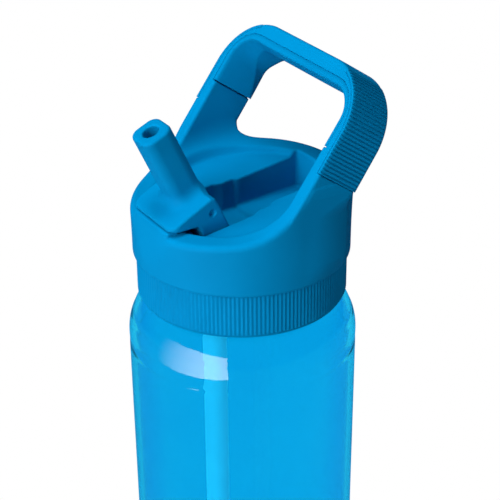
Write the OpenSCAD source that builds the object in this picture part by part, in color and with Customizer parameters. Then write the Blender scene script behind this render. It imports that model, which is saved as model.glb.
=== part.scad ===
// Flip-spout sports bottle: clear bottle, screw lid with a leaning carry loop,
// a drinking spout that folds back into a channel, and a straw.
// Units are millimetres.  Origin: centre of the bottle's base.  +Z up,
// -Y is the front, where the spout opens, and the carry loop leans to +Y.

/* [Bottle] */
// Largest outside diameter of the bottle
bottle_d = 76; // [74.6:0.2:78]
// Height of the lid's lower edge above the table
collar_z = 187; // [150:1:220]
// Wall of the bottle
bottle_wall = 2; // [1.6:0.1:2.4]
// How much narrower the waist is than the shoulder, on the radius
waist_depth = 0.2; // [0:0.1:2]

/* [Neck thread] */
// Outside diameter of the neck
neck_d = 60.8; // [60:0.1:61]
// Rise of the thread for one turn of the lid
thread_pitch = 4; // [3.8:0.1:4.2]
// Turns of thread on the neck and in the lid
thread_turns = 1.5; // [1:0.25:1.5]

/* [Lid] */
// Outside diameter of the smooth lid cover
cover_d = 71.2; // [70.8:0.1:72]
// Outside diameter of the ribbed collar
collar_d = 69; // [68.8:0.1:69.4]
// Number of ribs round the collar
collar_ribs = 160; // [120:4:180]
// Slope of the lid's top, rising to the back
top_slope = 7.4; // [6:0.2:8]

/* [Carry loop] */
// How far the carry loop leans back from upright
loop_lean = 36.2; // [34:0.2:38]
// Height of the loop along its own leaning plane, from the lid's lower edge
loop_top = 79.2; // [76:0.1:84]
// Depth of the loop from front to back
loop_depth = 16.5; // [14:0.5:17]
// Number of ribs on each outer grip
grip_ribs = 29; // [24:1:34]

/* [Spout] */
// Angle that the open spout leans forward from upright
spout_lean = 24.4; // [20:0.2:28]
// Distance from the spout's hinge to its tip
spout_length = 38; // [32:0.5:40]
// Diameter of the drinking hole
spout_bore = 5.3; // [4.5:0.1:5.6]
// Outside diameter of the straw
straw_d = 8; // [7.6:0.1:8]

/* [Hidden] */

gap = 0.3;                        // between neighbours that move past each other
eps = 0.01;
round_fn = 96;                    // for true round faces
shell_blue = "dodgerblue";

// Bottle, measured from the table.
bottle_r = bottle_d / 2;
shoulder_r = 18;                  // radius of the rounded shoulder
shoulder_z = collar_z - 15;       // where the shoulder starts to curve in
neck_r = neck_d / 2;
neck_wall = 2;
neck_top = collar_z + 17;
foot_round = 6;                   // rounding at the bottom edge
foot_ring_r = bottle_r - foot_round;
base_dome = 5;                    // how far the middle of the base is pushed up
thread_depth = 1.2;
thread_root = 2.4;                // width of the thread at its foot
thread_tip = 1.0;                 // width of the thread at its crest
thread_fn = 48;                   // steps for one turn
thread_start = collar_z + 4.5;    // middle of the neck thread's lower end

// Inner cap.
cap_in_r = neck_r + thread_depth + 0.4;
cap_roof_z = collar_z + 19.2;     // underside of the cap's roof
cap_roof = 2;
cap_skirt_top = collar_z + 15;
rib_depth = 0.22;
collar_r = collar_d / 2;
cover_r = cover_d / 2;
cover_wall = 2;
cap_upper_r = cover_r - cover_wall - 0.4;
straw_y = -13.9;
socket_wall = 1.15;
socket_low = collar_z + 9;
port_r = 2.6;
seal_r = 4;
seal_h = 2.3;
vent_at = [19, 8];                // clear of the tub under the spout's channel
vent_r = 1.5;

// Lid top, as heights at the bottle's axis.
rim_top = collar_z + 35.7;
bowl_floor = collar_z + 33.4;
back_top = collar_z + 38.8;       // the rim is level here, at the back
roof_under = collar_z + 31.4;
cover_low = collar_z + 15.1;
bowl_low_r = 27.4;
bowl_high_r = 29.2;
land_half = 10.5;                 // raised land under the spout's thumb plate
land_top = collar_z + 32.9;

// Spout hinge and the pocket that the spout turns in.
hinge_y = -16.2;
hinge_z = collar_z + 28.5;
barrel_r = 5.5;
pin_r = 1.75;
pin_fit = 0.05;
pin_in = 8.5;
pin_out = 14.8;
block_half = 12.3;                // half width of the block that turns
plate_half = 12.6;                // half width of the thumb plate
pocket_half = 13;
pocket_front = -23;
pocket_back = 4;
pocket_floor = collar_z + 22.8;
channel_half = 10;
channel_back = 28.5;
channel_floor = collar_z + 23.4;  // at the axis
channel_slope = 3;
tub_wall = 2;
tub_low = collar_z + 21.4;
drain_y = 22;
drain_r = 1;
scoop_y = -33.3;                  // where the thumb's facet meets the lid's top
scoop_top = collar_z + 33;
scoop_lean = 11;
scoop_h = 30;
spout_close = 111.4;              // turn from open to folded away
tube_x = 11;                      // section of the spout's tube
tube_s = 10;
tube_round = 3.6;

// Carry loop, in its own plane: x sideways, u up the lean.
loop_front = 27.45;               // distance of its front face from the axis
leg_out = 36.3;
leg_top_out = 35.6;               // the legs draw in a little at the top
leg_wall = 5;
leg_low = 30;
corner_r = 18.6;
bar_wall = 4.8;
liner_low = 54;                   // where the soft liner starts
liner_seat = 1.6;                 // depth of its seat in the legs
liner_proud = 1.2;
liner_bar = 3.8;                  // thickness of the liner under the top bar
liner_round = 12.5;
liner_hole_round = 8.5;
liner_depth = 14.8;
grip_low = 46.2;                  // lowest rib of the outer grips
grip_thick = 1.4;
grip_rib = 0.35;
grip_turn = 68;                   // angle that the outer grips run round the corner

function lean_at(u) = leg_out - (leg_out - leg_top_out) * (u - leg_low) / (loop_top - leg_low);

// Everything in the loop's plane: x stays, 2-D y becomes the leaning direction.
module in_loop_plane(depth, front) {
    translate([0, 0, collar_z])
        rotate([90 - loop_lean, 0, 0])
            translate([0, 0, front - depth])
                linear_extrude(height = depth)
                    children();
}

// A slab that fills everything below a plane that rises to the back.
module below_slope(height_at_axis, slope) {
    translate([0, 0, height_at_axis])
        rotate([slope, 0, 0])
            translate([-60, -60, -80])
                cube([120, 120, 80]);
}

module tube(outer_r, inner_r, low, high) {
    translate([0, 0, low])
        difference() {
            cylinder(r = outer_r, h = high - low, $fn = round_fn);
            translate([0, 0, -1])
                cylinder(r = inner_r, h = high - low + 2, $fn = round_fn);
        }
}

// One ring of a thread's ridge: four corners at turn angle a.
function thread_ring(a, foot_r, crest_r, mid_z, taper) = [
    for (p = [[foot_r, -thread_root / 2], [crest_r, -thread_tip / 2 * taper],
              [crest_r, thread_tip / 2 * taper], [foot_r, thread_root / 2]])
        let (r = p[0] == foot_r ? foot_r : foot_r + (crest_r - foot_r) * taper)
            [r * cos(a), r * sin(a), mid_z + p[1]]];

// A helical ridge from foot_r to crest_r, tapered at both ends.
module thread(foot_r, crest_r, start_z) {
    steps = round(thread_turns * thread_fn);
    fade = 4;
    rings = [for (i = [0:steps])
        let (a = i * 360 / thread_fn, taper = max(0.25, min(1, i / fade, (steps - i) / fade)))
            thread_ring(a, foot_r, crest_r, start_z + thread_pitch * a / 360, taper)];
    points = [for (ring = rings) for (p = ring) p];
    inward = crest_r < foot_r;
    sides = [for (i = [0:steps - 1]) for (j = [0:3])
        let (k = (j + 1) % 4, a = i * 4, b = i * 4 + 4)
            each inward ? [[b + j, b + k, a + k], [b + j, a + k, a + j]]
                        : [[a + j, a + k, b + k], [a + j, b + k, b + j]]];
    first = inward ? [0, 1, 2, 3] : [3, 2, 1, 0];
    last = [for (j = [0:3]) steps * 4 + (inward ? 3 - j : j)];
    polyhedron(points = points, faces = concat([first], sides, [last]), convexity = 6);
}

// ---------- bottle ----------

waist_steps = 12;
function waist(z) = waist_depth * (1 - cos(360 * (z - foot_round) / (shoulder_z - foot_round))) / 2;

// Outside of the bottle from the foot to the neck, moved inwards by a wall.
function bottle_side(wall, floor_z) = concat(
    [for (a = [0:15:90])
        [foot_ring_r + (foot_round - wall) * sin(a),
         foot_round - (foot_round - floor_z) * cos(a)]],
    [for (i = [1:waist_steps])
        let (z = foot_round + (shoulder_z - foot_round) * i / waist_steps)
            [bottle_r - wall - waist(z), z]],
    [for (a = [7:7:42])
        [bottle_r - shoulder_r + (shoulder_r - wall) * cos(a),
         shoulder_z + (shoulder_r - wall) * sin(a)]]);

module bottle_body() color("deepskyblue", 0.6) {
    inside_r = neck_r - neck_wall;
    rotate_extrude($fn = round_fn)
        difference() {
            union() {
                polygon(concat([[0, base_dome], [foot_ring_r * 0.55, base_dome * 0.8],
                                [foot_ring_r - 4, 0.6], [foot_ring_r - 3, 0]],
                               bottle_side(0, 0), [[neck_r, collar_z - 0.2], [0, collar_z - 0.2]]));
                translate([0, collar_z - 1])
                    square([neck_r, neck_top - collar_z + 1]);
            }
            polygon(concat([[0, base_dome + bottle_wall], [foot_ring_r * 0.5, base_dome * 0.8 + bottle_wall],
                            [foot_ring_r - 5, bottle_wall + 0.6]],
                           bottle_side(bottle_wall, bottle_wall),
                           [[inside_r, collar_z - 1], [inside_r, neck_top + 1], [0, neck_top + 1]]));
        }
    thread(neck_r - 0.3, neck_r + thread_depth, thread_start);
}

module main_gasket() color("white")
    tube(neck_r + 1, neck_r - neck_wall, neck_top + 0.05, cap_roof_z - 0.05);

// ---------- screw cap inside the cover ----------

// Outline of the ribbed collar: one shallow triangular rib after another.
module ribbed_disc() {
    step = 360 / collar_ribs;
    polygon([for (i = [0:collar_ribs - 1]) for (half = [0, 1])
        let (r = collar_r - rib_depth * half, a = step * (i + half / 2))
            [r * cos(a), r * sin(a)]]);
}

module inner_cap() color(shell_blue) {
    edge = 1.2;
    skirt_r = collar_r - rib_depth;
    difference() {
        union() {
            translate([0, 0, collar_z + edge])
                linear_extrude(height = cap_skirt_top - collar_z - edge)
                    ribbed_disc();
            translate([0, 0, collar_z])
                cylinder(r1 = skirt_r - edge / 2, r2 = skirt_r, h = edge + 0.1, $fn = round_fn);
            translate([0, 0, cap_skirt_top - 1])
                cylinder(r = cap_upper_r, h = cap_roof_z + cap_roof - cap_skirt_top + 1, $fn = round_fn);
        }
        translate([0, 0, collar_z - 1])
            cylinder(r = cap_in_r, h = cap_roof_z - collar_z + 1, $fn = round_fn);
        translate([0, straw_y, cap_roof_z - 1])
            cylinder(r = port_r, h = cap_roof + 2, $fn = round_fn);
        translate([vent_at[0], vent_at[1], cap_roof_z - 1])
            cylinder(r = vent_r, h = cap_roof + 2, $fn = round_fn);
    }
    thread(cap_in_r + 0.3, cap_in_r - thread_depth, thread_start + thread_pitch / 2);
    translate([0, straw_y, 0])
        tube(straw_d / 2 + pin_fit + socket_wall, straw_d / 2 + pin_fit, socket_low, cap_roof_z + eps);
}

// Soft one-way valve: a disc below the roof, a stem and a small bulb above it.
module vent_valve() color("white")
    translate([vent_at[0], vent_at[1], 0])
        rotate_extrude($fn = 48)
            polygon([[0, cap_roof_z - 1.3], [1.6, cap_roof_z - 1.3], [5, cap_roof_z - 0.9],
                     [5, cap_roof_z - 0.1], [vent_r - 0.1, cap_roof_z - 0.1],
                     [vent_r - 0.1, cap_roof_z + cap_roof], [vent_r + 0.4, cap_roof_z + cap_roof + 0.2],
                     [vent_r - 0.4, cap_roof_z + cap_roof + 1.4], [0, cap_roof_z + cap_roof + 1.4]]);

// Soft saddle that the spout's barrel turns on, with the drinking port through it.
module spout_seal() color("white")
    difference() {
        translate([0, straw_y, cap_roof_z + cap_roof])
            cylinder(r = seal_r, h = seal_h, $fn = 64);
        translate([0, straw_y, cap_roof_z])
            cylinder(r = port_r - 0.1, h = seal_h + 2 * cap_roof, $fn = 48);
        translate([-2 * seal_r, hinge_y, hinge_z])
            rotate([0, 90, 0])
                cylinder(r = barrel_r + pin_fit, h = 4 * seal_r, $fn = round_fn);
    }

module straw() color("white", 0.7)
    difference() {
        translate([0, straw_y, 0])
            tube(straw_d / 2, straw_d / 2 - 0.8, 9, cap_roof_z - 0.5);
        translate([-6, straw_y - 6, 9])
            rotate([25, 0, 0])
                translate([0, 0, -8])
                    cube([12, 14, 8]);
    }

// ---------- lid cover with the carry loop ----------

// Outline of the loop's outside, in its own plane.
module loop_outline() {
    top_half = leg_top_out - corner_r;
    top = loop_top - corner_r;
    polygon(concat(
        [[-leg_out, leg_low]],
        [for (a = [180:-9:90]) [-top_half + corner_r * cos(a), top + corner_r * sin(a)]],
        [for (a = [90:-9:0]) [top_half + corner_r * cos(a), top + corner_r * sin(a)]],
        [[leg_out, leg_low]]));
}

// The window through the loop, with rounded upper corners.
module loop_window(half, top, low, r) {
    polygon(concat(
        [[-half, low]],
        [for (a = [180:-10:90]) [-half + r + r * cos(a), top - r + r * sin(a)]],
        [for (a = [90:-10:0]) [half - r + r * cos(a), top - r + r * sin(a)]],
        [[half, low]]));
}

module loop_frame() {
    in_loop_plane(loop_depth, loop_front)
        difference() {
            loop_outline();
            translate([-leg_out + leg_wall, leg_low - 1])
                square([2 * (leg_out - leg_wall), liner_low - leg_low + 8]);
            translate([0, liner_low])
                loop_window(leg_out - leg_wall + liner_seat, loop_top - liner_low - bar_wall, 0, liner_round);
            for (side = [-1, 1])
                grip_band(side);
        }
}

// Fairing from the round wall up to the foot of a leg.  Its two ends lie just inside
// the wall and the leg, so that the surfaces cross cleanly.
module ear(side) {
    arc_front = -22;
    arc_back = 18.5;
    ear_inner = 26;
    inset = 0.3;
    foot_u = 38;
    hull() {
        translate([0, 0, cover_low + 2 * inset])
            intersection() {
                cylinder(r = cover_r - inset, h = 1, $fn = 48);
                translate([side > 0 ? ear_inner : -ear_inner - 20, arc_front, -1])
                    cube([20, arc_back - arc_front, 3]);
            }
        in_loop_plane(loop_depth - 2 * inset, loop_front - inset)
            translate([side > 0 ? leg_out - leg_wall + inset : -leg_out + inset, foot_u])
                square([leg_wall - 2 * inset, 1]);
    }
}

// Outer shape of the cover without its hollows.
module cover_outside() {
    intersection() {
        translate([0, 0, cover_low])
            cylinder(r = cover_r, h = back_top - cover_low, $fn = round_fn);
        below_slope(rim_top, top_slope);
    }
    intersection() {
        translate([0, 0, cover_low])
            cylinder(r = cover_r, h = land_top - cover_low, $fn = round_fn);
        translate([-land_half, -40, cover_low])
            cube([2 * land_half, 11, 30]);
    }
    for (side = [-1, 1])
        ear(side);
    loop_frame();
}

// The tub that forms the spout's pocket and channel, kept solid inside the cover.
module tub_outside() {
    translate([-pocket_half - tub_wall, pocket_front - tub_wall, tub_low])
        cube([2 * (pocket_half + tub_wall), pocket_back - pocket_front + 2 * tub_wall, 30]);
    translate([-channel_half - tub_wall, 0, tub_low])
        cube([2 * (channel_half + tub_wall), channel_back + tub_wall, 30]);
}

module cover_hollow() {
    difference() {
        intersection() {
            translate([0, 0, cover_low - 1])
                cylinder(r = cover_r - cover_wall, h = 40, $fn = round_fn);
            below_slope(roof_under, top_slope);
        }
        tub_outside();
    }
}

module spout_room() {
    translate([-pocket_half, pocket_front, pocket_floor])
        cube([2 * pocket_half, pocket_back - pocket_front, 30]);
    difference() {
        translate([-channel_half, 0, channel_floor - 2])
            cube([2 * channel_half, channel_back, 30]);
        below_slope(channel_floor, channel_slope);
    }
    // room for the seal, and a drain at the back of the channel
    translate([0, straw_y, tub_low - 1])
        cylinder(r = seal_r + 0.5, h = pocket_floor - tub_low + 2, $fn = 64);
    translate([0, drain_y, tub_low - 1])
        cylinder(r = drain_r, h = channel_floor - tub_low + 4, $fn = 24);
}

module lid_cover() color(shell_blue)
    difference() {
        cover_outside();
        cover_hollow();
        translate([0, 0, bowl_floor])
            rotate([top_slope, 0, 0])
                cylinder(r1 = bowl_low_r, r2 = bowl_high_r, h = rim_top - bowl_floor + 0.1, $fn = round_fn);
        spout_room();
        // flat facet for the thumb below the spout's plate
        translate([-20, scoop_y, scoop_top])
            rotate([-scoop_lean, 0, 0])
                translate([0, -20, -scoop_h])
                    cube([40, 20, scoop_h + 0.5]);
        // bearings for the spout's pins
        translate([-pin_out - gap, hinge_y, hinge_z])
            rotate([0, 90, 0])
                cylinder(r = pin_r + pin_fit, h = 2 * (pin_out + gap), $fn = 48);
    }

// ---------- soft grips ----------

module grip_liner() color(shell_blue)
    in_loop_plane(liner_depth, loop_front - (loop_depth - liner_depth) / 2) {
        seat = leg_out - leg_wall + liner_seat;
        top = loop_top - bar_wall;
        inner = leg_out - leg_wall - liner_proud;
        difference() {
            translate([0, liner_low])
                loop_window(seat - grip_fit, top - liner_low - grip_fit, grip_fit, liner_round);
            translate([0, liner_low])
                loop_window(inner, top - liner_bar - liner_low, -1, liner_hole_round);
        }
    }

// Length along the outer grip's path: up the leg and round most of the corner.
leg_run = loop_top - corner_r - grip_low;
arc_run = corner_r * PI * grip_turn / 180;
grip_run = leg_run + arc_run;

// A point on that path at distance s, set outwards by h.
function grip_point(s, h) =
    s < leg_run ? [lean_at(grip_low + s) + h, grip_low + s]
    : let (a = (s - leg_run) / corner_r * 180 / PI)
        [leg_top_out - corner_r + (corner_r + h) * cos(a),
         loop_top - corner_r + (corner_r + h) * sin(a)];

grip_steps = 24;                  // steps along the grip's smooth side
grip_fit = 0.04;                  // between a grip and its seat

// The grip's seat: a smooth band cut into the loop's outer face.
module grip_band(side) {
    scale([side, 1])
        polygon(concat(
            [for (i = [0:grip_steps]) grip_point(grip_run * i / grip_steps, 1)],
            [for (i = [grip_steps:-1:0]) grip_point(grip_run * i / grip_steps, -grip_thick - grip_fit)]));
}

// One rib is a flat top, a slope, a groove and a slope.
function rib_height(part) = part < 2 ? 0 : -grip_rib;

module ribbed_grip(side) color(shell_blue)
    in_loop_plane(loop_depth, loop_front)
        scale([side, 1])
            polygon(concat(
                [for (i = [0:grip_ribs - 1]) for (part = [0:3])
                    grip_point(grip_fit + (grip_run - 2 * grip_fit) * (i + [0.05, 0.5, 0.65, 0.9][part]) / grip_ribs,
                               rib_height(part))],
                [for (i = [grip_steps:-1:0])
                    grip_point(grip_fit + (grip_run - 2 * grip_fit) * i / grip_steps, -grip_thick)]));

module grip_left() ribbed_grip(-1);
module grip_right() ribbed_grip(1);

// ---------- flip spout ----------

// Side view of the block and thumb plate, at the open position: [y, z].
function spout_side() = [
    [-33, 33.4], [-33, 34.4], [-20.5, 40.8], [-18.6, 41.8], [-17, 41.4], [-15.6, 39],
    [-12.4, 32], [-11.2, 29.6], [-11.6, 26.8], [-13.4, 24.2], [-16.2, 23.2],
    [-19, 24.2], [-21.2, 26.6], [-22, 31.6], [-23.2, 33.4]];

// Rounded tube of the spout, standing on the hinge axis.
module spout_tube(inset, length)
    translate([0, hinge_y, hinge_z])
        rotate([spout_lean, 0, 0])
            linear_extrude(height = length)
                rounded_rect(tube_x - 2 * inset, tube_s - 2 * inset, tube_round - inset);

module rounded_rect(w, h, r) {
    for (x = [-1, 1]) for (y = [-1, 1])
        translate([x * (w / 2 - r), y * (h / 2 - r)])
            circle(r = r, $fn = 32);
    square([w, h - 2 * r], center = true);
    square([w - 2 * r, h], center = true);
}

module flip_spout() color(shell_blue)
    difference() {
        union() {
            intersection() {
                translate([-plate_half, 0, collar_z])
                    rotate([90, 0, 90])
                        linear_extrude(height = 2 * plate_half)
                            polygon(spout_side());
                plate_plan();
            }
            spout_tube(0, spout_length - 0.8);
            spout_tube(0.6, spout_length);
        }
        translate([0, hinge_y, hinge_z])
            rotate([spout_lean, 0, 0])
                translate([0, 0, -12])
                    cylinder(r = spout_bore / 2, h = spout_length + 14, $fn = 48);
        for (side = [-1, 1])
            translate([side > 0 ? pin_in - gap : -block_half - 2, hinge_y, hinge_z])
                rotate([0, 90, 0])
                    cylinder(r = pin_r, h = block_half + 2 - pin_in + gap, $fn = 48);
    }

// Seen from above: the plate's rounded front corners and the narrower block behind.
module plate_plan() {
    corner = 3.5;
    front = -33;
    translate([0, 0, collar_z])
        linear_extrude(height = 60) {
            translate([-plate_half, front + corner])
                square([2 * plate_half, 9]);
            translate([-plate_half + corner, front])
                square([2 * (plate_half - corner), corner + 1]);
            for (side = [-1, 1])
                translate([side * (plate_half - corner), front + corner])
                    circle(r = corner, $fn = 48);
            translate([-block_half, front + corner])
                square([2 * block_half, 25]);
        }
}

module hinge_pins() color("silver")
    for (side = [-1, 1])
        translate([side > 0 ? pin_in : -pin_out, hinge_y, hinge_z])
            rotate([0, 90, 0])
                cylinder(r = pin_r, h = pin_out - pin_in, $fn = 48);

bottle_body();
main_gasket();
inner_cap();
vent_valve();
spout_seal();
straw();
lid_cover();
grip_liner();
grip_left();
grip_right();
flip_spout();
hinge_pins();
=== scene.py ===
"""Flip-spout drinking bottle: the moulded shapes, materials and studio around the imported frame.

Shapes are worked out in millimetres in the lid's own frame: x sideways, y to the back,
z up from the lower edge of the ribbed collar.  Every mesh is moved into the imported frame,
in metres, when it is made.
"""

import math

import bpy
import numpy as np
from mathutils import Matrix, Vector


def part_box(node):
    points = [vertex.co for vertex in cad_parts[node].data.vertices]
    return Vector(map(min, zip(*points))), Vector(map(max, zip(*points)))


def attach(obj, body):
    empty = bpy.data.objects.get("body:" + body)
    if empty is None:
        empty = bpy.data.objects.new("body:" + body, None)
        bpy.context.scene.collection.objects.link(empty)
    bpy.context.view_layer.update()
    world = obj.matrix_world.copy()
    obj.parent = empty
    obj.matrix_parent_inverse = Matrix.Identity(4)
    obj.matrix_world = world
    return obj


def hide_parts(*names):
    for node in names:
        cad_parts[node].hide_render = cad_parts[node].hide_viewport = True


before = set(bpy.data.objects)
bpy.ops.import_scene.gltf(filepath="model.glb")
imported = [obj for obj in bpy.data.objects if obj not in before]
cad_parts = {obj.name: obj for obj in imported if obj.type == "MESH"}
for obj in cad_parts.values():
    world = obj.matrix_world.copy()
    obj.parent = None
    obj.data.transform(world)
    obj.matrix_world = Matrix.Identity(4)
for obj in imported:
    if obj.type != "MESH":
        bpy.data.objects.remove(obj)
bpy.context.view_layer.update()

MM = 0.001
LID_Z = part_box("inner_cap")[0].z / MM         # the collar's lower edge above the table

# ---------- sizes, in mm; most of them are the CAD source's ----------

COVER_R = 35.6
COVER_LOW = 15.1
COVER_WALL = 2.0
COVER_EDGE = 2.2                              # rounding of the rim
HOLLOW_EDGE = 0.6
WALL_DRAFT = 1.0                              # how far the wall flares out over DRAFT_HEIGHT
DRAFT_HEIGHT = 30.0
DRAFT_POWER = 2.5
TOP_SLOPE = math.radians(7.4)                 # the lid's top rises to its back
RIM_TOP = 35.7
BACK_RIM = 38.8
RIM_BLEND = 3.0
BOWL_FLOOR = 33.0
BOWL_R = 27.6
BOWL_FLARE = 0.6                              # the bowl widens by this much for each mm up
BOWL_SLANT = 1.2                              # about the length of its wall for each mm up
MOULD_EDGE = 0.8                              # usual rounding of a moulded edge
CRISP_EDGE = 0.2                              # rounding where another piece is seated
ROOF_UNDER = 31.4
ROOF_EDGE = 1.0
TUB_BOXES = ((-9.5, 15.0, 15.5), (14.0, 12.0, 16.5))   # middle in y, half width, half length
TUB_LOW = 21.4
TUB_EDGE = 0.5

LOOP_LEAN = math.radians(36.2)
LOOP_FRONT = -27.45
LOOP_DEPTH = 16.8
LOOP_TOP = 79.2
LEG_OUT = 36.7
LEG_TOP_OUT = 35.7
LEG_LOW = 30.0
LEG_WALL = 5.4
LEG_FAIRING = 9.0                             # rounding where the legs grow out of the cover
LEGS_TO = 50.0                                # the fairing ends below this height
CORNER_R = 18.6                               # of the loop's front outline
CORNER_WIDENS = 1.2                           # more at its back
BAR_WALL = 4.8
BACK_RISE = 0.4                               # the bar is higher at its back
EDGE_ROUND = 1.2
OUTLINE_EDGE = 0.6
WINDOW_OVERLAP = 8.0                          # how far the lower window runs into the upper one
WINDOW_ROUND = 0.5
EAR_BACK = 19.0
EAR_STRAIGHT = 4.6
EAR_START = 6.0                               # height over which an ear comes out of the wall
EAR_TURN = 37.0
EAR_RISE = 9.0                                # height over which it reaches EAR_BACK
EAR_RUNS = 1.5                                # and its run to the back for each mm above that
LAND_HALF = 10.5                              # flat ground that the spout's plate lies on
LAND_TOP = 32.9
LAND_BACK = -29.0
LAND_EDGE = 1.0
SCOOP_Y = -33.3                               # flat facet in front of the plate, for the thumb
SCOOP_TOP = 33.0
SCOOP_LEAN = math.radians(11)

LINER_LOW = 54.0
LINER_SEAT = 1.6
LINER_ROUND = 11.0
LINER_BULGE = 1.0                             # extra thickness in the corners
LINER_FIT = 0.05
LINER_END_GAP = 0.35
LINER_SET_BACK = (0.08, 0.4)                  # from the loop's front and from its back
LINER_EDGE = (1.3, 0.9)                       # thickness at its edges: on the legs, more on the bar
LINER_CREST = (3.3, 0.25)                     # thickness at its crest: on the legs, more on the bar
LINER_CHAMFER = (0.3, 0.6)                    # at its front edge and at its back edge
LINER_BACK_DROP = 0.52                        # share of the crest lost again at the back edge
LINER_BEND = (0.93, 0.60)                     # the crest is this far back, less this much at the top
# where a section has its points: 0 is the front edge, 1 the crest and 2 the back edge
LINER_SIDES = (0, 0.04, 0.12, 0.3, 0.5, 0.7, 0.85, 0.94, 1.0, 1.06, 1.15, 1.5, 1.8, 1.93, 2.0)
LINER_STEPS = 60                              # sections from a leg's end to the middle of the bar
GRIP_LOW = 46.2
GRIP_END = math.radians(68)                   # round the loop's corner
GRIP_THICK = 1.2
GRIP_FIT = 0.02
GRIP_END_GAP = 0.1                            # short of its seat's lower end
GRIP_END_TURN = 0.005                         # and this angle short of its upper end
GRIP_SEAT_GAP = 0.06
GRIP_STEPS = 23                               # points through its depth
GRIP_FADE = 0.8                               # width of the plain border at each side
GRIP_DROP = 0.25                              # how much lower the border's edge lies
GRIP_RIBS = 29
RIB_STEPS = 12                                # points along one rib
RIB_HEIGHT = 0.15
RIB_FLAT = 1.3                                # over 1, the ribs' crests are flattened
RIB_SUNK = 0.06
RIB_BORDER = 0.3                              # twice the fade at which the ribs start

HINGE_Y = -16.2
HINGE_Z = 28.5
SPOUT_LEAN = math.radians(24.4)
SPOUT_LENGTH = 38.0
SPOUT_BORE = 5.3
BORE_EDGE = 0.7
TUBE_HALF = (5.8, 5.3)
TUBE_ROUND = 3.4
TUBE_START = 8.0                              # from the hinge, along the tube
TUBE_FILLET = 4.0
TIP_EDGE = 1.2
PLATE_HALF = 12.6
PLATE_FRONT = -33.0
PLATE_MIDDLE = -15.0
PLATE_CORNER = 3.5
PLATE_EDGE = 0.9
DIMPLE_AT = (-18.0, 36.8)                     # (y, z) of the sink mark on the block's side
DIMPLE_R = 1.2
DIMPLE_OUT = 0.2                              # its centre lies this far outside the side
DIMPLE_EDGE = 0.3
POCKET_HALF = 13.0
POCKET_Y = (-23.0, 4.0)
POCKET_NARROWS = 1.8                          # behind the block's swing, within POCKET_TAPER
POCKET_TAPER = 3.0
POCKET_EDGE = 1.0
BLOCK_SWING = 13.4
POCKET_FLOOR = 22.6
CHANNEL_HALF = 10.0
CHANNEL_Y = (-5.0, 28.5)
CHANNEL_FLOOR = 23.4
CHANNEL_SLOPE = math.radians(3.0)
CHANNEL_EDGE = 1.2
ROOM_BLEND = 2.5                              # between the pocket's and the channel's walls

BOTTLE_R = 38.0
NECK_R = 30.4
BOTTLE_WALL = 2.0
SHOULDER_R = 18.0
SHOULDER_Z = -15.0
SHOULDER_TURN = math.radians(49)
NECK_TOP = 17.0
NECK_WALL = 2.0
NECK_LIP = 0.6                                # chamfer on its mouth
NECK_FOOT = (-0.2, -1.0)                      # where its outside and its inside start
FOOT_ROUND = 6.0
WAIST_DEPTH = 0.2
TURNED_STEPS = 224                            # faces round the bottle
FOOT_STEPS = 10
SIDE_STEPS = 70
SHOULDER_STEPS = 24
BASE_UNDER = ((0.01, 5.0), (17.0, 4.0), (27.7, 0.6), (28.7, 0.0))   # (r, height over the table)
BASE_TOP = ((0.01, 7.0), (15.8, 6.0), (26.7, 2.6))

RING_HEIGHTS = (-8.0, -17.8)                  # shallow rings round the shoulder
RING_DEPTH = 0.10
RING_WIDTH = 1.0
RING_STEP = 0.25
RING_LOW = -21.0

STRAW_Y = -13.9
STRAW_LEANS = 3.0                             # to the back, over the heights of STRAW_BEND
STRAW_BEND = (2.0, -8.0)
STRAW_R = 4.0
STRAW_WALL = 0.8
STRAW_TOP = 18.7
STRAW_LOW = -170.0
STRAW_SLANT = 2.0                             # its lower end is cut at a slant
STRAW_STEPS = 48
STRAW_BEND_STEPS = 12
STRAW_HANG_STEPS = 40

# corners of the grids in which the two moulded shapes are meshed
COVER_GRID = ((-39, -39, 13), (39, 41, 82))
SPOUT_GRID = ((-14.5, -39, 21), (14.5, -8, 69))
COVER_STEP = 0.5
SPOUT_STEP = COVER_STEP * 0.7

# ---------- smooth distance shapes ----------


def smooth_max(a, b, k):
    """The larger of two distances, rounded over a width k where they meet."""
    h = np.maximum(k - np.abs(a - b), 0.0) / k
    return np.maximum(a, b) + h * h * k * 0.25


def smooth_min(a, b, k):
    """The smaller of two distances, with the same rounding."""
    return -smooth_max(-a, -b, k)


def carve(body, tool, k):
    """body with tool taken out of it, its new edges rounded by k."""
    return smooth_max(body, -tool, k)


def box_2d(a, b, half_a, half_b, r=0.0):
    """Distance from a rectangle with corners rounded to radius r."""
    qa = np.abs(a) - half_a + r
    qb = np.abs(b) - half_b + r
    outside = np.hypot(np.maximum(qa, 0), np.maximum(qb, 0))
    return outside + np.minimum(np.maximum(qa, qb), 0) - r


def slab(t, low, high):
    """Distance from the layer between two values of t."""
    return np.abs(t - (low + high) / 2) - (high - low) / 2


def above_slope(y, z, height, slope):
    """Height over a plane that rises to the back, measured square to it."""
    return (z - height) * math.cos(slope) - y * math.sin(slope)


def polygon_2d(a, b, corners):
    """Signed distance from a closed polygon."""
    far = 1e9
    nearest = np.full(a.shape, far, a.dtype)
    inside = np.zeros(a.shape, bool)
    for (a0, b0), (a1, b1) in zip(corners, corners[1:] + corners[:1]):
        ea, eb = a1 - a0, b1 - b0
        wa, wb = a - a0, b - b0
        t = np.clip((wa * ea + wb * eb) / (ea * ea + eb * eb), 0, 1)
        nearest = np.minimum(nearest, (wa - ea * t) ** 2 + (wb - eb * t) ** 2)
        crosses = ((b0 <= b) & (b1 > b)) | ((b1 <= b) & (b0 > b))
        side = wa * eb - wb * ea
        inside ^= crosses & ((side < 0) == (eb > 0))
    return np.sqrt(nearest) * np.where(inside, -1, 1)


# ---------- from a distance shape to a mesh ----------

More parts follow.
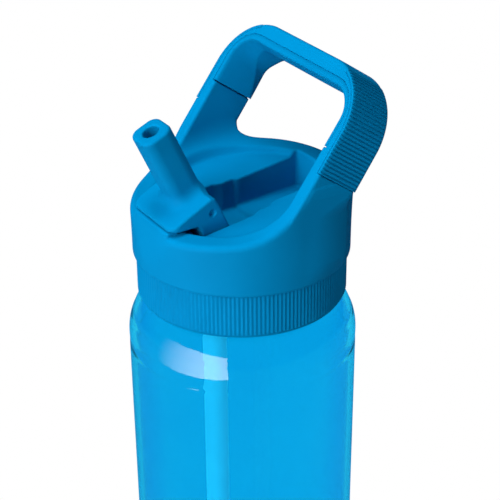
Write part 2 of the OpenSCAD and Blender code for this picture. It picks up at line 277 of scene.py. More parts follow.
CORNERS = np.array([[i, j, k] for i in (0, 1) for j in (0, 1) for k in (0, 1)])
CELL_EDGES = [(a, b) for a in range(8) for b in range(a + 1, 8)
              if np.abs(CORNERS[a] - CORNERS[b]).sum() == 1]
BLOCK = 6                                      # fine cells along one coarse block
REACH = 1.25                                   # safety factor on a block's half diagonal
PULLS = 3                                      # rounds of pulling the vertices onto the surface
LONGEST_PULL = 0.4                             # of a step, in one round


def sample(shape, low, step, counts):
    """Values of a shape on a fine grid, worked out only in blocks near its surface."""
    blocks = [math.ceil(n / BLOCK) for n in counts]
    middle = [low[d] + (np.arange(blocks[d]) + 0.5) * BLOCK * step - step / 2 for d in range(3)]
    grid = np.meshgrid(*middle, indexing="ij")
    coarse = shape(*[g.astype(np.float32) for g in grid])
    near = np.abs(coarse) < BLOCK * step * math.sqrt(3) / 2 * REACH
    for d in range(3):
        coarse = np.repeat(coarse, BLOCK, d)
        near = np.repeat(near, BLOCK, d)
    values = coarse[:counts[0], :counts[1], :counts[2]]
    index = np.nonzero(near[:counts[0], :counts[1], :counts[2]])
    points = [(low[d] + index[d] * step).astype(np.float32) for d in range(3)]
    values[index] = shape(*points)
    return values


def gradient(shape, points, h):
    """Direction in which a shape's distance grows fastest, by central differences."""
    result = np.empty_like(points)
    for d in range(3):
        ahead, behind = points.copy(), points.copy()
        ahead[:, d] += h
        behind[:, d] -= h
        result[:, d] = (shape(*ahead.T) - shape(*behind.T)) / (2 * h)
    return result


def skin(shape, low, high, step):
    """Surface-nets mesh of a shape: vertices, quads and smooth normals."""
    counts = [math.ceil((high[d] - low[d]) / step) + 1 for d in range(3)]
    values = sample(shape, low, step, counts)
    inside = values < 0
    cell_shape = [n - 1 for n in counts]
    hits = np.zeros(cell_shape, np.uint8)
    for i, j, k in CORNERS:
        hits += inside[i:i + cell_shape[0], j:j + cell_shape[1], k:k + cell_shape[2]]
    cells = np.argwhere((hits > 0) & (hits < 8))
    total = np.zeros((len(cells), 3))
    crossings = np.zeros(len(cells))
    corner_values = [values[tuple((cells + c).T)].astype(float) for c in CORNERS]
    for a, b in CELL_EDGES:
        va, vb = corner_values[a], corner_values[b]
        crossed = (va < 0) != (vb < 0)
        t = np.where(crossed, va / np.where(crossed, va - vb, 1), 0)
        total += (CORNERS[a] + t[:, None] * (CORNERS[b] - CORNERS[a])) * crossed[:, None]
        crossings += crossed
    points = np.array(low) + (cells + total / crossings[:, None]) * step
    for _ in range(PULLS):
        slope = gradient(shape, points, step * 0.2)
        length = np.maximum((slope ** 2).sum(1), 0.05)
        move = -(shape(*points.T) / length)[:, None] * slope
        points = points + np.clip(move, -LONGEST_PULL * step, LONGEST_PULL * step)
    normals = gradient(shape, points, step * 0.4)
    normals /= np.maximum(np.linalg.norm(normals, axis=1), 1e-9)[:, None]

    number = np.full(cell_shape, -1, np.int64)
    number[tuple(cells.T)] = np.arange(len(cells))
    quads = []
    for d in range(3):
        e, f = [axis for axis in range(3) if axis != d]
        window = [slice(1, -1)] * 3
        window[d] = slice(0, -1)
        ahead = list(window)
        ahead[d] = slice(1, None)
        starts, ends = inside[tuple(window)], inside[tuple(ahead)]
        edges = np.argwhere(starts != ends)
        outward = starts[tuple(edges.T)] == (d != 1)
        base = edges.copy()
        base[:, e] += 1
        base[:, f] += 1
        ring = []
        for shift_e, shift_f in ((0, 0), (-1, 0), (-1, -1), (0, -1)):
            at = base.copy()
            at[:, e] += shift_e
            at[:, f] += shift_f
            ring.append(number[tuple(at.T)])
        ring = np.stack(ring, 1)
        quads.append(np.where(outward[:, None], ring, ring[:, ::-1]))
    return points, np.concatenate(quads), normals


def make_mesh(name, points, faces, material, normals=None):
    """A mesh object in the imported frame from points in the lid's frame, in mm."""
    points = (np.asarray(points, float) + (0, 0, LID_Z)) * MM
    mesh = bpy.data.meshes.new(name)
    mesh.from_pydata(points.tolist(), [], [list(map(int, f)) for f in faces])
    mesh.validate()
    mesh.polygons.foreach_set("use_smooth", [True] * len(mesh.polygons))
    if normals is not None:
        mesh.normals_split_custom_set_from_vertices(np.asarray(normals).tolist())
    mesh.materials.append(material)
    mesh.update()
    piece = bpy.data.objects.new(name, mesh)
    bpy.context.scene.collection.objects.link(piece)
    return piece


def moulded(name, shape, grid, step, material):
    """A piece meshed from a distance shape inside the grid's two corners."""
    points, faces, normals = skin(shape, *grid, step)
    return make_mesh(name, points, faces, material, normals)


def loft(rows, closed=True):
    """Points and faces of a row of rings: closed into a loop, or else with a cap at each end."""
    rows = np.asarray(rows, float)
    n, m = rows.shape[:2]
    last_row = n if closed else n - 1
    faces = [(i * m + j, i * m + (j + 1) % m, (i + 1) % n * m + (j + 1) % m, (i + 1) % n * m + j)
             for i in range(last_row) for j in range(m)]
    if not closed:
        faces.append(tuple(range(m))[::-1])
        faces.append(tuple((n - 1) * m + j for j in range(m)))
    return rows.reshape(-1, 3), faces


def turned(profile, steps):
    """Loft of a closed (r, z) profile turned about the bottle's axis."""
    r, z = np.asarray(profile, float).T
    rows = [np.stack([r * math.cos(a), r * math.sin(a), z], 1)
            for a in np.linspace(0, 2 * math.pi, steps, endpoint=False)]
    points, faces = loft(rows)
    return points, [face[::-1] for face in faces]


# ---------- the lid cover ----------


def in_loop_plane(y, z):
    """(u, c): height up the loop's leaning plane, and depth through it."""
    u = y * math.sin(LOOP_LEAN) + z * math.cos(LOOP_LEAN)
    c = y * math.cos(LOOP_LEAN) - z * math.sin(LOOP_LEAN)
    return u, c


def from_loop_plane(x, u, c):
    """Points in the lid's frame from a place in the loop's plane."""
    y = u * math.sin(LOOP_LEAN) + c * math.cos(LOOP_LEAN)
    z = u * math.cos(LOOP_LEAN) - c * math.sin(LOOP_LEAN)
    return np.stack(np.broadcast_arrays(x, y, z), -1)


def leg_half(u):
    """Half width of the loop outside, which draws in a little towards the top."""
    share = np.clip((u - LEG_LOW) / (LOOP_TOP - LEG_LOW), 0, 1)
    return LEG_OUT - (LEG_OUT - LEG_TOP_OUT) * share


def loop_top(c):
    """Height of the loop's top, which rises a little to its back."""
    return LOOP_TOP + BACK_RISE * np.clip((c - LOOP_FRONT) / LOOP_DEPTH, 0, 1)


def corner_radius(c):
    """Radius of the loop's upper corners, wider towards its back."""
    return CORNER_R + CORNER_WIDENS * np.clip((c - LOOP_FRONT) / LOOP_DEPTH, 0, 1)


def loop_outline(x, u, c):
    """Distance from the loop's outer outline."""
    reach = 120.0
    across = np.abs(x) - leg_half(u) + LEG_OUT
    return box_2d(across, u - loop_top(c) + reach, LEG_OUT, reach, corner_radius(c))


def window_outline(x, u, half, top, r):
    """Distance from an opening with rounded upper corners that runs on downwards."""
    reach = 60.0
    return box_2d(x, u - top + reach, half, reach, r)


def wall_radius(z):
    """Radius of the cover's wall, which flares a little up to the height of the legs."""
    return COVER_R + WALL_DRAFT * np.clip((z - COVER_LOW) / DRAFT_HEIGHT, 0, 1) ** DRAFT_POWER


def ear_wall(x, y, z):
    """Distance from a round wall that is straightened beside each leg, more so higher up."""
    radius = wall_radius(z)
    rise = np.clip((z - EAR_TURN) / EAR_RISE, 0, 1)
    straight = EAR_STRAIGHT * np.clip((z - COVER_LOW) / EAR_START, 0, 1)
    straight += (EAR_BACK - EAR_STRAIGHT) * rise * rise * (3 - 2 * rise)
    straight += EAR_RUNS * np.maximum(z - EAR_TURN - EAR_RISE, 0)
    return np.hypot(x, y - np.clip(y, 0, straight)) - radius


def carry_loop(x, y, z):
    """Distances from the loop, from its legs without their outer faces, and from the grips' seats."""
    u, c = in_loop_plane(y, z)
    depth = slab(c, LOOP_FRONT, LOOP_FRONT + LOOP_DEPTH)
    outline = smooth_max(loop_outline(x, u, c), ear_wall(x, y, z), OUTLINE_EDGE)
    lower = window_outline(x, u, LEG_OUT - LEG_WALL, LINER_LOW + WINDOW_OVERLAP, WINDOW_ROUND)
    seat_half = LEG_OUT - LEG_WALL + LINER_SEAT
    upper = window_outline(x, u, seat_half, LOOP_TOP - BAR_WALL, LINER_ROUND)
    upper = np.maximum(upper, LINER_LOW - u)
    frame_depth = carve(depth, lower, EDGE_ROUND)
    shape = carve(smooth_max(outline, frame_depth, EDGE_ROUND), upper, CRISP_EDGE)
    corner = corner_radius(c)
    beyond = ((u - loop_top(c) + corner) * math.cos(GRIP_END)
              - (np.abs(x) - LEG_TOP_OUT + corner) * math.sin(GRIP_END))
    seat = np.maximum(-(outline + GRIP_THICK), np.maximum(GRIP_LOW - u, beyond))
    legs = smooth_max(depth, (LEG_OUT - LEG_WALL) - np.abs(x), EDGE_ROUND)
    shape = carve(shape, seat, CRISP_EDGE)
    return shape, np.maximum(legs, z - LEGS_TO), np.maximum(seat, depth)


def cover_wall(x, y, z):
    """Distance from the cover's upright outside: a round wall with a squarer ear below each leg."""
    ear = smooth_max(ear_wall(x, y, z), y - EAR_BACK, EDGE_ROUND)
    return np.minimum(np.hypot(x, y) - wall_radius(z), ear)


def spout_room(x, y, z):
    """The pocket under the spout's block and the channel that the spout folds into."""
    swing = np.hypot(y - HINGE_Y, z - HINGE_Z) - BLOCK_SWING
    half = POCKET_HALF - POCKET_NARROWS * np.clip(swing / POCKET_TAPER, 0, 1) * (y > HINGE_Y)
    pocket = smooth_max(slab(y, *POCKET_Y), np.abs(x) - half, POCKET_EDGE)
    pocket = smooth_max(pocket, POCKET_FLOOR - z, POCKET_EDGE)
    channel = smooth_max(slab(y, *CHANNEL_Y), np.abs(x) - CHANNEL_HALF, CHANNEL_EDGE)
    channel = smooth_max(channel, -above_slope(y, z, CHANNEL_FLOOR, CHANNEL_SLOPE), CHANNEL_EDGE)
    return smooth_min(pocket, channel, ROOM_BLEND)


def cover_hollow(x, y, z):
    """The cover's inside, less the walls of the tub that hangs in it round the spout's room."""
    under_roof = above_slope(y, z, ROOF_UNDER, TOP_SLOPE)
    hollow = smooth_max(np.hypot(x, y) - COVER_R + COVER_WALL, under_roof, ROOF_EDGE)
    front, back = [box_2d(x, y - middle, half, length) for middle, half, length in TUB_BOXES]
    tub = np.maximum(np.minimum(front, back), TUB_LOW - z)
    return carve(hollow, tub, TUB_EDGE)


def lid_cover_shape(x, y, z):
    """The whole cover: wall, sloping top with its bowl, spout's room, thumb facet and loop."""
    top = smooth_max(above_slope(y, z, RIM_TOP, TOP_SLOPE), z - BACK_RIM, RIM_BLEND)
    up = above_slope(y, z, BOWL_FLOOR, TOP_SLOPE)
    bowl_wall = (np.hypot(x, y) - BOWL_R - BOWL_FLARE * up) / BOWL_SLANT
    top = carve(top, smooth_max(-up, bowl_wall, MOULD_EDGE), MOULD_EDGE)
    land = smooth_max(np.maximum(np.abs(x) - LAND_HALF, z - LAND_TOP), y - LAND_BACK, LAND_EDGE)
    loop, legs, seats = carry_loop(x, y, z)
    top = smooth_min(np.minimum(top, land), legs, LEG_FAIRING)
    body = smooth_max(cover_wall(x, y, z), top, COVER_EDGE)
    body = carve(body, spout_room(x, y, z), MOULD_EDGE)
    facet = (SCOOP_Y + (z - SCOOP_TOP) * math.tan(SCOOP_LEAN) - y) * math.cos(SCOOP_LEAN)
    body = carve(smooth_max(body, facet, MOULD_EDGE), seats, CRISP_EDGE)
    body = np.minimum(body, loop)
    body = carve(body, cover_hollow(x, y, z), HOLLOW_EDGE)
    return smooth_max(body, COVER_LOW - z, ROOF_EDGE)


# ---------- the spout ----------

# (y, z) outline of the thumb plate and the block below it, seen from the side
SPOUT_SIDE = [(-33, 33.2), (-33, 34.4), (-20.5, 40.8), (-18.6, 41.8), (-17, 41.4), (-15.6, 39),
              (-12.4, 32), (-11.2, 29.6), (-11.6, 26.8), (-13.4, 24.2), (-16.2, 23.2),
              (-19, 24.2), (-21.2, 26.6), (-22, 31.6), (-23.2, 33.2)]


def along_tube(y, z):
    """(t, s): distance from the hinge along the leaning tube, and depth through it."""
    t = -(y - HINGE_Y) * math.sin(SPOUT_LEAN) + (z - HINGE_Z) * math.cos(SPOUT_LEAN)
    s = (y - HINGE_Y) * math.cos(SPOUT_LEAN) + (z - HINGE_Z) * math.sin(SPOUT_LEAN)
    return t, s


def spout_shape(x, y, z):
    """Thumb plate and turning block in one outline, with the tube, its bore and two sink marks."""
    side = polygon_2d(y, z, SPOUT_SIDE)
    plan = box_2d(x, y - PLATE_MIDDLE, PLATE_HALF, PLATE_MIDDLE - PLATE_FRONT, PLATE_CORNER)
    plate = smooth_max(side, plan, PLATE_EDGE)
    t, s = along_tube(y, z)
    tube = smooth_max(box_2d(x, s, *TUBE_HALF, TUBE_ROUND), t - SPOUT_LENGTH, TIP_EDGE)
    tube = np.maximum(tube, TUBE_START - t)
    body = smooth_min(plate, tube, TUBE_FILLET)
    body = carve(body, np.hypot(x, s) - SPOUT_BORE / 2, BORE_EDGE)
    aside = np.abs(x) - PLATE_HALF - DIMPLE_OUT
    dimple = np.sqrt(aside ** 2 + (y - DIMPLE_AT[0]) ** 2 + (z - DIMPLE_AT[1]) ** 2) - DIMPLE_R
    return carve(body, dimple, DIMPLE_EDGE)


# ---------- soft grips ----------


def loop_path(half, top, r, start, turn, bar, count):
    """Points (x, u) and outward directions up a leg, round part of the corner, along the bar."""
    leg = top - r - start
    arc = r * math.pi / 2
    s = np.linspace(0, leg + r * turn + bar, count)
    angle = np.clip((s - leg) / r, 0, math.pi / 2)
    x = half - r + r * np.cos(angle) - np.clip(s - leg - arc, 0, None)
    u = start + np.minimum(s, leg) + r * np.sin(angle)
    return np.stack([x, u], 1), np.stack([np.cos(angle), np.sin(angle)], 1)


def ribbed_grip(side):
    """Rubber inlay with ribs that run through the loop's depth and fade at its borders."""
    count = GRIP_RIBS * RIB_STEPS + 1
    half = LOOP_DEPTH / 2 - GRIP_FIT
    across = half * np.sin(np.linspace(-1, 1, GRIP_STEPS) * math.pi / 2)
    across = np.concatenate([across, [half, -half]])      # the last two lie at its seat
    depth = LOOP_FRONT + LOOP_DEPTH / 2 + across
    paths = []
    for c in depth:
        path, out = loop_path(LEG_TOP_OUT, loop_top(c), corner_radius(c), GRIP_LOW + GRIP_END_GAP,
                              GRIP_END - GRIP_END_TURN, 0, count)
        path[:, 0] += (leg_half(path[:, 1]) - LEG_TOP_OUT) * out[:, 0]
        paths.append(np.concatenate([path, out], 1))
    wave = np.sin(np.arange(count) % RIB_STEPS / RIB_STEPS * 2 * math.pi)
    ribs = RIB_HEIGHT * np.clip(RIB_FLAT * wave, -1, 1) - RIB_SUNK
    fade = np.clip((half - np.abs(across)) / GRIP_FADE, 0, 1)
    ribbed = np.clip(2 * fade - RIB_BORDER, 0, 1)
    rows = []
    for at, rib in zip(np.stack(paths, 1), ribs):
        height = -GRIP_DROP * (1 - fade) ** 2 + rib * ribbed
        height[-2:] = GRIP_SEAT_GAP - GRIP_THICK
        x = at[:, 0] + at[:, 2] * height
        u = at[:, 1] + at[:, 3] * height
        rows.append(from_loop_plane(x * side, u, depth))
    points, faces = loft(rows, closed=False)
    if side > 0:
        faces = [f[::-1] for f in faces]
    return points, faces


def grip_liner():
    """Finger grip round the inside of the loop, with a crest that wanders to the front."""
    half = LEG_OUT - LEG_WALL + LINER_SEAT - LINER_FIT
    top = LOOP_TOP - BAR_WALL - LINER_FIT
    path, out = loop_path(half, top, LINER_ROUND, LINER_LOW + LINER_END_GAP,
                          math.pi / 2, half - LINER_ROUND, LINER_STEPS)
    left = path[::-1][1:] * (-1, 1)
    left_out = out[::-1][1:] * (-1, 1)
    path, out = np.concatenate([path, left]), np.concatenate([out, left_out])
    front = LOOP_FRONT + LINER_SET_BACK[0]
    back = LOOP_FRONT + LOOP_DEPTH - LINER_SET_BACK[1]
    share = np.array(LINER_SIDES)
    behind = np.maximum(share - 1, 0)
    rise = np.where(share <= 1, share ** 0.8, 1 - LINER_BACK_DROP * behind ** 1.1)
    rows = []
    for (x0, u0), (ox, ou) in zip(path, out):
        bar = 1 - min(abs(x0) / half, 1) ** 4   # 0 on the legs, 1 along the bar
        climb = min((u0 - LINER_LOW) / (top - LINER_LOW), 1) ** 1.3
        crest = LINER_BEND[0] - LINER_BEND[1] * climb
        where = np.where(share <= 1, share * crest, crest + behind * (1 - crest))
        edge = LINER_EDGE[0] + LINER_EDGE[1] * bar
        height = edge + (LINER_CREST[0] + LINER_CREST[1] * bar - edge) * rise
        height += LINER_BULGE * (2 * ox * ou) ** 2 * np.clip(where / crest - 0.5, 0, 1)
        height[0] -= LINER_CHAMFER[0]
        height[-1] -= LINER_CHAMFER[1]
        c = front + where * (back - front)
        c = np.append(c, [back, front])
        height = np.append(height, [0.0, 0.0])
        rows.append(from_loop_plane(x0 - ox * height, u0 - ou * height, c))
    return loft(rows, closed=False)


# ---------- bottle and straw ----------


def bottle_profile():
    """Closed (r, z) outline of the bottle's wall: outside up, inside down."""
    foot = -LID_Z                              # the table, in the lid's frame
    low, high = foot + FOOT_ROUND, SHOULDER_Z
    neck_in = NECK_R - NECK_WALL

    def waist(z):
        """How far the side draws in at its middle."""
        return WAIST_DEPTH * (1 - math.cos(2 * math.pi * (z - low) / (high - low))) / 2

    def side(inset):
        """The rounded foot, the drawn-in side and the shoulder, inset from the outside."""
        points = [(BOTTLE_R - FOOT_ROUND + (FOOT_ROUND - inset) * math.sin(a),
                   foot + FOOT_ROUND - (FOOT_ROUND - inset) * math.cos(a))
                  for a in np.linspace(0, math.pi / 2, FOOT_STEPS)]
        points += [(BOTTLE_R - inset - waist(z), z) for z in np.linspace(low, high, SIDE_STEPS)[1:]]
        points += [(BOTTLE_R - SHOULDER_R + (SHOULDER_R - inset) * math.cos(a),
                    SHOULDER_Z + (SHOULDER_R - inset) * math.sin(a))
                   for a in np.linspace(0, SHOULDER_TURN, SHOULDER_STEPS)[1:]]
        return points

    def ringed(points):
        """The outside with a shallow ring pressed into it at each of RING_HEIGHTS."""
        result = []
        for (r0, z0), (r1, z1) in zip(points, points[1:]):
            length = math.hypot(r1 - r0, z1 - z0)
            steps = max(1, math.ceil(length / RING_STEP)) if z1 > RING_LOW else 1
            for share in np.arange(steps) / steps:
                r, z = r0 + (r1 - r0) * share, z0 + (z1 - z0) * share
                dent = sum(math.exp(-((z - at) / RING_WIDTH) ** 2) for at in RING_HEIGHTS)
                result.append((r - RING_DEPTH * dent, z))
        return result + points[-1:]

    outside = [(r, foot + z) for r, z in BASE_UNDER] + side(0)
    inside = [(r, foot + z) for r, z in BASE_TOP] + side(BOTTLE_WALL)
    neck = [(NECK_R, NECK_FOOT[0]), (NECK_R, NECK_TOP - NECK_LIP), (NECK_R - NECK_LIP, NECK_TOP),
            (neck_in + NECK_LIP, NECK_TOP), (neck_in, NECK_TOP - NECK_LIP), (neck_in, NECK_FOOT[1])]
    outside = [(r, z) for r, z in outside if r > NECK_R or z < SHOULDER_Z]
    inside = [(r, z) for r, z in inside if r > neck_in or z < SHOULDER_Z]
    return ringed(outside) + neck + inside[::-1]


def bent_straw():
    """Straw that comes straight down from the cap's socket, bends a little to the back and hangs."""
    start, end = STRAW_BEND
    heights = np.concatenate([[STRAW_TOP, start + 2], np.linspace(start, end, STRAW_BEND_STEPS),
                              np.linspace(end - 1, STRAW_LOW, STRAW_HANG_STEPS)])
    turn = np.linspace(0, 2 * math.pi, STRAW_STEPS, endpoint=False)

    def tube(r):
        """Rings of one of the straw's two walls, from the top down."""
        rings = []
        for z in heights:
            share = np.clip((start - z) / (start - end), 0, 1)
            y = STRAW_Y + STRAW_LEANS * share * share * (3 - 2 * share)
            slant = (z == STRAW_LOW) * STRAW_SLANT * np.sin(turn)
            rings.append(np.stack([r * np.cos(turn), y + r * np.sin(turn), z + slant], 1))
        return rings

    points, faces = loft(tube(STRAW_R) + tube(STRAW_R - STRAW_WALL)[::-1])
    return points, [face[::-1] for face in faces]


# ---------- materials ----------


def new_material(name):
    """A material with its nodes, its links and its main shader."""
    material = bpy.data.materials.new(name)
    material.use_nodes = True
    nodes = material.node_tree.nodes
    return material, nodes, material.node_tree.links, nodes["Principled BSDF"]


def grain(nodes, links, shader, scale, strength, distance=0.00004, detail=3.0):
    """Fine moulded texture as bump from noise; returns the coordinates that it uses."""
    place = nodes.new("ShaderNodeTexCoord")
    noise = nodes.new("ShaderNodeTexNoise")
    noise.inputs["Scale"].default_value = scale
    noise.inputs["Detail"].default_value = detail
    bump = nodes.new("ShaderNodeBump")
    bump.inputs["Strength"].default_value = strength
    bump.inputs["Distance"].default_value = distance
    links.new(place.outputs["Object"], noise.inputs["Vector"])
    links.new(noise.outputs["Fac"], bump.inputs["Height"])
    links.new(bump.outputs["Normal"], shader.inputs["Normal"])
    return place


def mottled(nodes, links, shader, place, dark, light, scale):
    """Slow colour drift over the surface, as in dyed plastic."""
    drift = nodes.new("ShaderNodeTexNoise")
    drift.inputs["Scale"].default_value = scale
    drift.inputs["Detail"].default_value = 2.0
    ramp = nodes.new("ShaderNodeValToRGB")
    low, high = ramp.color_ramp.elements
    low.position, high.position = 0.35, 0.65
    low.color, high.color = (*dark, 1), (*light, 1)
    links.new(place.outputs["Object"], drift.inputs["Vector"])
    links.new(drift.outputs["Fac"], ramp.inputs["Fac"])
    links.new(ramp.outputs["Color"], shader.inputs["Base Color"])


def lid_plastic():
    """Satin polypropylene."""
    material, nodes, links, shader = new_material("satin_blue_lid")
    place = grain(nodes, links, shader, scale=2600, strength=0.25)
    mottled(nodes, links, shader, place, (0.0, 0.175, 0.395), (0.0, 0.185, 0.415), scale=60)
    shader.inputs["Roughness"].default_value = 0.55
    shader.inputs["Specular IOR Level"].default_value = 0.01
    return material


def soft_grip():
    """Matt elastomer, a little darker than the lid."""
    material, nodes, links, shader = new_material("soft_blue_grip")
    place = grain(nodes, links, shader, scale=2400, strength=0.08)
    mottled(nodes, links, shader, place, (0.0, 0.165, 0.375), (0.0, 0.175, 0.395), scale=90)
    shader.inputs["Roughness"].default_value = 0.65
    shader.inputs["Specular IOR Level"].default_value = 0.01
    return material


def painted_edge_shade(nodes, links, shader):
    """Painted shade: deeper colour where the wall is seen edge on, in place of the light's longer way
    through it and the darker grazing reflections.
    """
    plain = shader.inputs["Base Color"].links[0].from_socket
    weight = nodes.new("ShaderNodeLayerWeight")
    span = nodes.new("ShaderNodeMapRange")
    span.inputs["From Min"].default_value = 0.45
    span.inputs["From Max"].default_value = 0.80
    mix = nodes.new("ShaderNodeMixRGB")
    # colour of the painted shade at the wall's edges
    mix.inputs["Color2"].default_value = (0.002, 0.40, 0.80, 1)
    links.new(weight.outputs["Facing"], span.inputs["Value"])
    links.new(span.outputs["Result"], mix.inputs["Fac"])
    links.new(plain, mix.inputs["Color1"])
    links.new(mix.outputs["Color"], shader.inputs["Base Color"])


def clear_blue():
    """Tinted clear copolyester."""
    material, nodes, links, shader = new_material("clear_blue_bottle")
    place = grain(nodes, links, shader, scale=22, strength=0.10, distance=0.0004, detail=1.0)
    mottled(nodes, links, shader, place, (0.022, 0.60, 0.88), (0.026, 0.62, 0.89), scale=40)
    # painted shade where the wall is seen edge on
    painted_edge_shade(nodes, links, shader)
    shader.inputs["Transmission Weight"].default_value = 1.0
    shader.inputs["Roughness"].default_value = 0.03
    shader.inputs["IOR"].default_value = 1.5
    # rays from the lamps go straight through, tinted, so that the straw inside is lit
    clear = nodes.new("ShaderNodeBsdfTransparent")
    clear.inputs["Color"].default_value = (0.40, 0.64, 0.68, 1)
    path = nodes.new("ShaderNodeLightPath")
    mix = nodes.new("ShaderNodeMixShader")
    links.new(path.outputs["Is Shadow Ray"], mix.inputs[0])
    links.new(shader.outputs[0], mix.inputs[1])
    links.new(clear.outputs[0], mix.inputs[2])
    links.new(mix.outputs[0], nodes["Material Output"].inputs["Surface"])
    return material


def pale_silicone():
    """Matt seals and valve."""
    material, nodes, links, shader = new_material("pale_silicone")
    place = grain(nodes, links, shader, scale=1500, strength=0.15)
    mottled(nodes, links, shader, place, (0.74, 0.77, 0.78), (0.80, 0.82, 0.83), scale=120)
    shader.inputs["Roughness"].default_value = 0.5
    return material


def milky_straw_painted_glow():
    """Pale plastic with a painted glow: an even emission that stands in for the light that scatters
    through its wall.
    """
    material, nodes, links, shader = new_material("milky_straw_painted_glow")
    place = grain(nodes, links, shader, scale=1500, strength=0.15)
    mottled(nodes, links, shader, place, (0.84, 0.86, 0.87), (0.88, 0.90, 0.91), scale=120)
    shader.inputs["Roughness"].default_value = 0.35
    # painted glow: emission in place of light reaching the straw
    shader.inputs["Emission Color"].default_value = (0.9, 0.95, 1, 1)
    shader.inputs["Emission Strength"].default_value = 0.30
    return material


def pin_steel():
    """Ground steel of the hinge pins."""
    material, nodes, links, shader = new_material("ground_pin_steel")
    place = grain(nodes, links, shader, scale=4000, strength=0.2)
    mottled(nodes, links, shader, place, (0.5, 0.5, 0.51), (0.6, 0.6, 0.61), scale=300)
    shader.inputs["Metallic"].default_value = 1.0
    shader.inputs["Roughness"].default_value = 0.28
    return material


LID = lid_plastic()
GRIP = soft_grip()
CLEAR = clear_blue()
SILICONE = pale_silicone()
# the straw's material carries a painted glow
STRAW = milky_straw_painted_glow()
STEEL = pin_steel()

# ---------- pieces ----------


def place_piece(piece, body, node):
    """The piece rides on a body and stands in for a CAD node."""
    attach(piece, body)
    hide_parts(node)


cover = moulded("lid_cover_moulded", lid_cover_shape, COVER_GRID, COVER_STEP, LID)
place_piece(cover, "lid", "lid_cover")

spout = moulded("flip_spout_moulded", spout_shape, SPOUT_GRID, SPOUT_STEP, LID)
place_piece(spout, "spout", "flip_spout")

for side, name in ((-1, "grip_left"), (1, "grip_right")):
    piece = make_mesh(name + "_ribbed", *ribbed_grip(side), GRIP)
    place_piece(piece, "lid", name)

liner = make_mesh("grip_liner_soft", *grip_liner(), GRIP)
place_piece(liner, "lid", "grip_liner")

straw = make_mesh("straw_bent", *bent_straw(), STRAW)
place_piece(straw, "lid", "straw")

bottle = make_mesh("bottle_body_clear", *turned(bottle_profile(), TURNED_STEPS), CLEAR)
place_piece(bottle, "bottle", "bottle_body")

# CAD pieces that keep their own shape
KEPT_NODES = {"inner_cap": LID, "main_gasket": SILICONE, "vent_valve": SILICONE,
              "spout_seal": SILICONE, "hinge_pins": STEEL}
for node_name, material in KEPT_NODES.items():
    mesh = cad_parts[node_name].data
    mesh.materials.clear()
    mesh.materials.append(material)

# ---------- studio ----------


def seen_directly(nodes, links):
    """1 for what the eye sees, straight or through clear plastic; 0 for light on its way."""
    path = nodes.new("ShaderNodeLightPath")
    either = nodes.new("ShaderNodeMath")
    either.operation = "MAXIMUM"
    links.new(path.outputs["Is Camera Ray"], either.inputs[0])
    links.new(path.outputs["Is Transmission Ray"], either.inputs[1])
    return either.outputs[0]


def studio_floor():
    """Pale floor that lights the piece from below, and looks white to the eye."""
    size = 4.0
    mesh = bpy.data.meshes.new("studio_floor")
    mesh.from_pydata([(-size, -size, 0), (size, -size, 0), (size, size, 0), (-size, size, 0)],
                     [], [(0, 1, 2, 3)])
    material, nodes, links, shader = new_material("pale_floor")
    place = grain(nodes, links, shader, scale=300, strength=0.05)
    mottled(nodes, links, shader, place, (0.33, 0.33, 0.33), (0.36, 0.36, 0.36), scale=4)
    shader.inputs["Roughness"].default_value = 0.8
    shader.inputs["Specular IOR Level"].default_value = 0.1
    white = nodes.new("ShaderNodeEmission")
    mix = nodes.new("ShaderNodeMixShader")
    links.new(seen_directly(nodes, links), mix.inputs[0])
    links.new(shader.outputs[0], mix.inputs[1])
    links.new(white.outputs[0], mix.inputs[2])
    links.new(mix.outputs[0], nodes["Material Output"].inputs["Surface"])
    mesh.materials.append(material)
    floor = bpy.data.objects.new("studio_floor", mesh)
    floor.visible_glossy = False
    bpy.context.scene.collection.objects.link(floor)


CAMERA_AT = Vector((0.36890, -0.22747, 0.43284))
CAMERA_HEADING = math.radians(-32.022)        # from +X towards -Y, where the camera stands
CAMERA_PITCH = math.radians(28.2518)
CAMERA_ROLL = math.radians(-0.5103)
CAMERA_LENS = 108.0                           # on a sensor CAMERA_SENSOR wide
CAMERA_SENSOR = 36.0

forward = Vector((-math.cos(CAMERA_HEADING) * math.cos(CAMERA_PITCH),
                  -math.sin(CAMERA_HEADING) * math.cos(CAMERA_PITCH), -math.sin(CAMERA_PITCH)))
UP = Vector((0, 0, 1))
LIT_POINT = Vector((0, 0, 0.2))               # what the lights are aimed at
level_right = forward.cross(UP).normalized()
level_up = level_right.cross(forward)


def add_camera():
    """The photograph's camera, with its slight roll."""
    right = math.cos(CAMERA_ROLL) * level_right + math.sin(CAMERA_ROLL) * level_up
    up = right.cross(forward)
    data = bpy.data.cameras.new("photo_camera")
    data.lens = CAMERA_LENS
    data.sensor_width = CAMERA_SENSOR
    camera = bpy.data.objects.new("photo_camera", data)
    turn = Matrix((right, up, -forward)).transposed().to_4x4()
    camera.matrix_world = Matrix.Translation(CAMERA_AT) @ turn
    bpy.context.scene.collection.objects.link(camera)
    bpy.context.scene.camera = camera


def fade_sideways(data):
    """The lamp is dark at one end and grows to full strength at the other."""
    data.use_nodes = True
    nodes, links = data.node_tree.nodes, data.node_tree.links
    place = nodes.new("ShaderNodeNewGeometry")
    apart = nodes.new("ShaderNodeSeparateXYZ")
    span = nodes.new("ShaderNodeMapRange")
    span.interpolation_type = "SMOOTHSTEP"
    span.inputs["From Max"].default_value = 0.75
    links.new(place.outputs["Parametric"], apart.inputs[0])
    links.new(apart.outputs["X"], span.inputs["Value"])
    links.new(span.outputs["Result"], nodes["Emission"].inputs["Strength"])


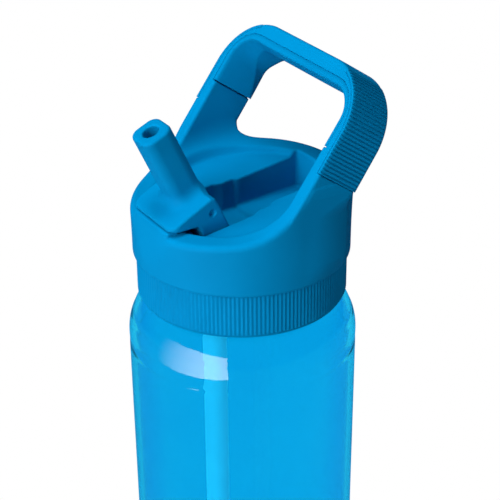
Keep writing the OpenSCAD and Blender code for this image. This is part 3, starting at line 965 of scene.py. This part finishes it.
def soft_light(name, right, up, toward, size, watts, mirrored=False):
    """Area light aimed at the lid, metres to the camera's right, up and towards the camera.

    It lights surfaces, and none of them mirrors it; a mirrored one only shows as a reflection.
    """
    at = LIT_POINT + right * level_right + up * UP - toward * forward
    data = bpy.data.lights.new(name, "AREA")
    data.shape = "RECTANGLE"
    data.size, data.size_y = size
    data.energy = watts
    light = bpy.data.objects.new(name, data)
    light.visible_glossy = mirrored
    light.visible_diffuse = not mirrored
    light.visible_transmission = False
    if mirrored:
        fade_sideways(data)
    light.location = at
    light.rotation_mode = "QUATERNION"
    light.rotation_quaternion = (LIT_POINT - at).to_track_quat("-Z", "Y")
    bpy.context.scene.collection.objects.link(light)


AIR_GLOW = 0.03                               # what the air adds to matt surfaces
MIRRORED_ROOM = (0.02, 0.32, 0.66, 1)         # what the clear wall mirrors


def set_world():
    """White to the eye, MIRRORED_ROOM to anything glossy, and nearly dark to everything else."""
    world = bpy.data.worlds.new("studio_air")
    bpy.context.scene.world = world
    world.use_nodes = True
    nodes, links = world.node_tree.nodes, world.node_tree.links
    background = nodes["Background"]
    path = nodes.new("ShaderNodeLightPath")
    tone = nodes.new("ShaderNodeMixRGB")
    tone.inputs["Color1"].default_value = (1, 1, 1, 1)
    tone.inputs["Color2"].default_value = MIRRORED_ROOM
    links.new(path.outputs["Is Glossy Ray"], tone.inputs["Fac"])
    links.new(tone.outputs["Color"], background.inputs["Color"])
    glow = nodes.new("ShaderNodeMath")
    glow.operation = "MULTIPLY_ADD"
    glow.inputs[1].default_value = AIR_GLOW
    links.new(path.outputs["Is Diffuse Ray"], glow.inputs[0])
    bright = nodes.new("ShaderNodeMath")
    bright.operation = "MAXIMUM"
    links.new(seen_directly(nodes, links), bright.inputs[0])
    links.new(path.outputs["Is Glossy Ray"], bright.inputs[1])
    links.new(bright.outputs[0], glow.inputs[2])
    links.new(glow.outputs[0], background.inputs["Strength"])


studio_floor()
add_camera()
set_world()
soft_light("left_softbox", right=-0.90, up=0.40, toward=0.35, size=(0.5, 0.5), watts=6.2)
soft_light("front_softbox", right=-0.66, up=-0.05, toward=0.90, size=(0.45, 0.45), watts=9.8)
soft_light("high_softbox", right=-0.10, up=1.28, toward=0.12, size=(0.6, 0.6), watts=13)
soft_light("fill_softbox", right=0.10, up=-0.75, toward=1.45, size=(0.9, 0.4), watts=5.5)
soft_light("back_softbox", right=0.3, up=0.2, toward=-1.1, size=(0.6, 0.6), watts=5)
soft_light("shoulder_card", right=-0.215, up=-0.12, toward=0.21, size=(0.41, 0.25), watts=2.1,
           mirrored=True)
bpy.context.scene.view_settings.view_transform = "Standard"
